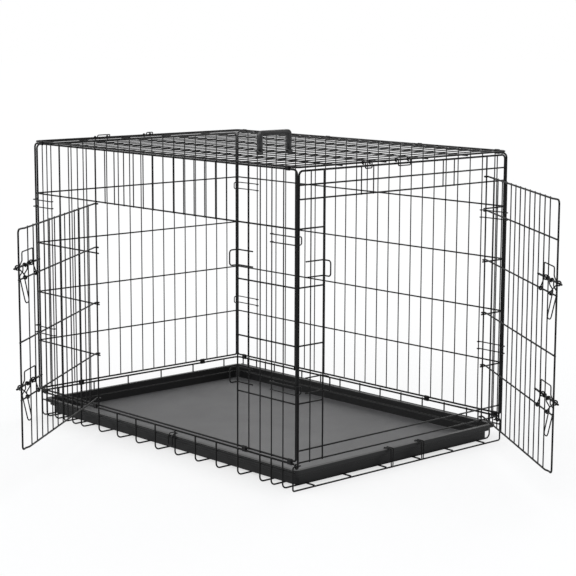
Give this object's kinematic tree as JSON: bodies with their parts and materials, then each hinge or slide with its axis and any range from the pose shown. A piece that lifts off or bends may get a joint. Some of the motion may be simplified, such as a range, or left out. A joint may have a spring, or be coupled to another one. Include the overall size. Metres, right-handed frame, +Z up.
{
  "type": "wire dog crate",
  "caption": "Folding black wire dog crate with side-hinged doors on the front and one end, slide bolts, corner hooks, a slide-out tray and a carry handle.",
  "frame": {"origin": "on the floor, under the middle of the crate's base", "axes": "+X along the long side towards the end doorway, +Y towards the back panel (the front door is on -Y), +Z up"},
  "size_m": [1.5598, 1.2191, 0.8233],
  "materials": {
    "wire": "semi-gloss black baked coating over round steel wire",
    "hardware": "black coating worn by handling, on hooks, bolts and clips",
    "tray": "black moulded plastic with a fine pebbled floor",
    "handle": "satin black moulded plastic"
  },
  "bodies": {
    "root": {"base_frame": "wire", "front_panel": "wire", "back_panel": "wire", "right_end_panel": "wire", "top_panel": "wire", "front_strikers": "wire", "end_strikers": "wire", "front_top_clips": "hardware", "back_top_clips": "hardware", "front_base_clips": "hardware", "back_base_clips": "hardware", "left_end_clips": "hardware"},
    "left_end_panel": {"left_end_panel": "wire"},
    "tray": {"tray": "tray", "tray_clip_front": "hardware", "tray_clip_back": "hardware"},
    "tray_finger_stop": {"tray_finger_stop": "hardware"},
    "front_door": {"front_door": "wire", "front_upper_guide": "wire", "front_lower_guide": "wire"},
    "end_door": {"end_door": "wire", "end_upper_guide": "wire", "end_lower_guide": "wire"},
    "front_upper_bolt": {"front_upper_bolt": "hardware"},
    "front_upper_handle": {"front_upper_handle": "hardware"},
    "front_lower_bolt": {"front_lower_bolt": "hardware"},
    "front_lower_handle": {"front_lower_handle": "hardware"},
    "end_upper_bolt": {"end_upper_bolt": "hardware"},
    "end_upper_handle": {"end_upper_handle": "hardware"},
    "end_lower_bolt": {"end_lower_bolt": "hardware"},
    "end_lower_handle": {"end_lower_handle": "hardware"},
    "front_right_upper_hook": {"front_right_upper_hook": "hardware"},
    "front_right_lower_hook": {"front_right_lower_hook": "hardware"},
    "front_left_upper_hook": {"front_left_upper_hook": "hardware"},
    "front_left_lower_hook": {"front_left_lower_hook": "hardware"},
    "back_right_upper_hook": {"back_right_upper_hook": "hardware"},
    "back_right_lower_hook": {"back_right_lower_hook": "hardware"},
    "back_left_upper_hook": {"back_left_upper_hook": "hardware"},
    "back_left_lower_hook": {"back_left_lower_hook": "hardware"},
    "right_wide_top_hook": {"right_wide_top_hook": "hardware"},
    "right_narrow_top_hook": {"right_narrow_top_hook": "hardware"},
    "left_wide_top_hook": {"left_wide_top_hook": "hardware"},
    "left_narrow_top_hook": {"left_narrow_top_hook": "hardware"},
    "carry_handle": {"carry_handle": "handle"}
  },
  "joints": [
    {"name": "front_door_hinge", "type": "hinge", "parent": "root", "child": "front_door", "pos_m": [-0.24485, -0.37155, 0.355], "axis": [0, 0, 1], "range_deg": [-96.3, 53.7]},
    {"name": "end_door_hinge", "type": "hinge", "parent": "root", "child": "end_door", "pos_m": [0.53505, 0.28544, 0.385], "axis": [0, 0, -1], "range_deg": [-93.2, 56.8]},
    {"name": "front_upper_bolt_slide", "type": "slide", "parent": "front_door", "child": "front_upper_bolt", "axis": [0.592, -0.8059, 0], "range_m": [0, 0.04]},
    {"name": "front_upper_handle_swing", "type": "hinge", "parent": "front_upper_bolt", "child": "front_upper_handle", "pos_m": [-0.08018, -0.62283, 0.5282], "axis": [-0.592, 0.8059, 0], "range_deg": [0, 100]},
    {"name": "front_lower_bolt_slide", "type": "slide", "parent": "front_door", "child": "front_lower_bolt", "axis": [0.592, -0.8059, 0], "range_m": [0, 0.04]},
    {"name": "front_lower_handle_swing", "type": "hinge", "parent": "front_lower_bolt", "child": "front_lower_handle", "pos_m": [-0.08018, -0.62283, 0.2429], "axis": [-0.592, 0.8059, 0], "range_deg": [0, 100]},
    {"name": "end_upper_bolt_slide", "type": "slide", "parent": "end_door", "child": "end_upper_bolt", "axis": [0.8368, -0.5476, 0], "range_m": [0, 0.04]},
    {"name": "end_upper_handle_swing", "type": "hinge", "parent": "end_upper_bolt", "child": "end_upper_handle", "pos_m": [0.79487, 0.13461, 0.5177], "axis": [0.8368, -0.5476, 0], "range_deg": [0, 100]},
    {"name": "end_lower_bolt_slide", "type": "slide", "parent": "end_door", "child": "end_lower_bolt", "axis": [0.8368, -0.5476, 0], "range_m": [0, 0.04]},
    {"name": "end_lower_handle_swing", "type": "hinge", "parent": "end_lower_bolt", "child": "end_lower_handle", "pos_m": [0.79487, 0.13461, 0.2429], "axis": [0.8368, -0.5476, 0], "range_deg": [0, 100]},
    {"name": "front_right_upper_hook_swing", "type": "hinge", "parent": "root", "child": "front_right_upper_hook", "pos_m": [0.44888, -0.37105, 0.598], "axis": [0, 0, -1], "range_deg": [0, 100]},
    {"name": "front_right_lower_hook_swing", "type": "hinge", "parent": "root", "child": "front_right_lower_hook", "pos_m": [0.44888, -0.37105, 0.246], "axis": [0, 0, -1], "range_deg": [0, 100]},
    {"name": "front_left_upper_hook_swing", "type": "hinge", "parent": "root", "child": "front_left_upper_hook", "pos_m": [-0.44888, -0.37105, 0.598], "axis": [0, 0, 1], "range_deg": [0, 100]},
    {"name": "front_left_lower_hook_swing", "type": "hinge", "parent": "root", "child": "front_left_lower_hook", "pos_m": [-0.44888, -0.37105, 0.246], "axis": [0, 0, 1], "range_deg": [0, 100]},
    {"name": "back_right_upper_hook_swing", "type": "hinge", "parent": "root", "child": "back_right_upper_hook", "pos_m": [0.44562, 0.37105, 0.598], "axis": [0, 0, 1], "range_deg": [0, 100]},
    {"name": "back_right_lower_hook_swing", "type": "hinge", "parent": "root", "child": "back_right_lower_hook", "pos_m": [0.44562, 0.37105, 0.246], "axis": [0, 0, 1], "range_deg": [0, 100]},
    {"name": "back_left_upper_hook_swing", "type": "hinge", "parent": "root", "child": "back_left_upper_hook", "pos_m": [-0.44562, 0.37105, 0.598], "axis": [0, 0, -1], "range_deg": [0, 100]},
    {"name": "back_left_lower_hook_swing", "type": "hinge", "parent": "root", "child": "back_left_lower_hook", "pos_m": [-0.44562, 0.37105, 0.246], "axis": [0, 0, -1], "range_deg": [0, 100]},
    {"name": "right_wide_top_hook_swing", "type": "hinge", "parent": "root", "child": "right_wide_top_hook", "pos_m": [0.5305, -0.02039, 0.7673], "axis": [0, -1, 0], "range_deg": [0, 190]},
    {"name": "right_narrow_top_hook_swing", "type": "hinge", "parent": "root", "child": "right_narrow_top_hook", "pos_m": [0.5305, -0.14272, 0.7673], "axis": [0, -1, 0], "range_deg": [0, 190]},
    {"name": "left_wide_top_hook_swing", "type": "hinge", "parent": "root", "child": "left_wide_top_hook", "pos_m": [-0.5305, -0.14272, 0.7673], "axis": [0, 1, 0], "range_deg": [-210, 0]},
    {"name": "left_narrow_top_hook_swing", "type": "hinge", "parent": "root", "child": "left_narrow_top_hook", "pos_m": [-0.5305, 0.02039, 0.7673], "axis": [0, 1, 0], "range_deg": [-210, 0]},
    {"name": "carry_handle_swing", "type": "hinge", "parent": "root", "child": "carry_handle", "pos_m": [0.16323, -0.106, 0.7673], "axis": [0, 1, 0], "range_deg": [-75, 75]},
    {"name": "tray_slide", "type": "slide", "parent": "root", "child": "tray", "axis": [1, 0, 0], "range_m": [0, 0.9]},
    {"name": "tray_finger_stop_tilt", "type": "hinge", "parent": "root", "child": "tray_finger_stop", "pos_m": [0.06121, -0.367, 0.046], "axis": [1, 0, 0], "range_deg": [0, 25]},
    {"name": "left_end_panel_fold", "type": "hinge", "parent": "root", "child": "left_end_panel", "pos_m": [-0.5305, 0, 0.075], "axis": [0, 1, 0], "range_deg": [0, 88]}
  ]
}
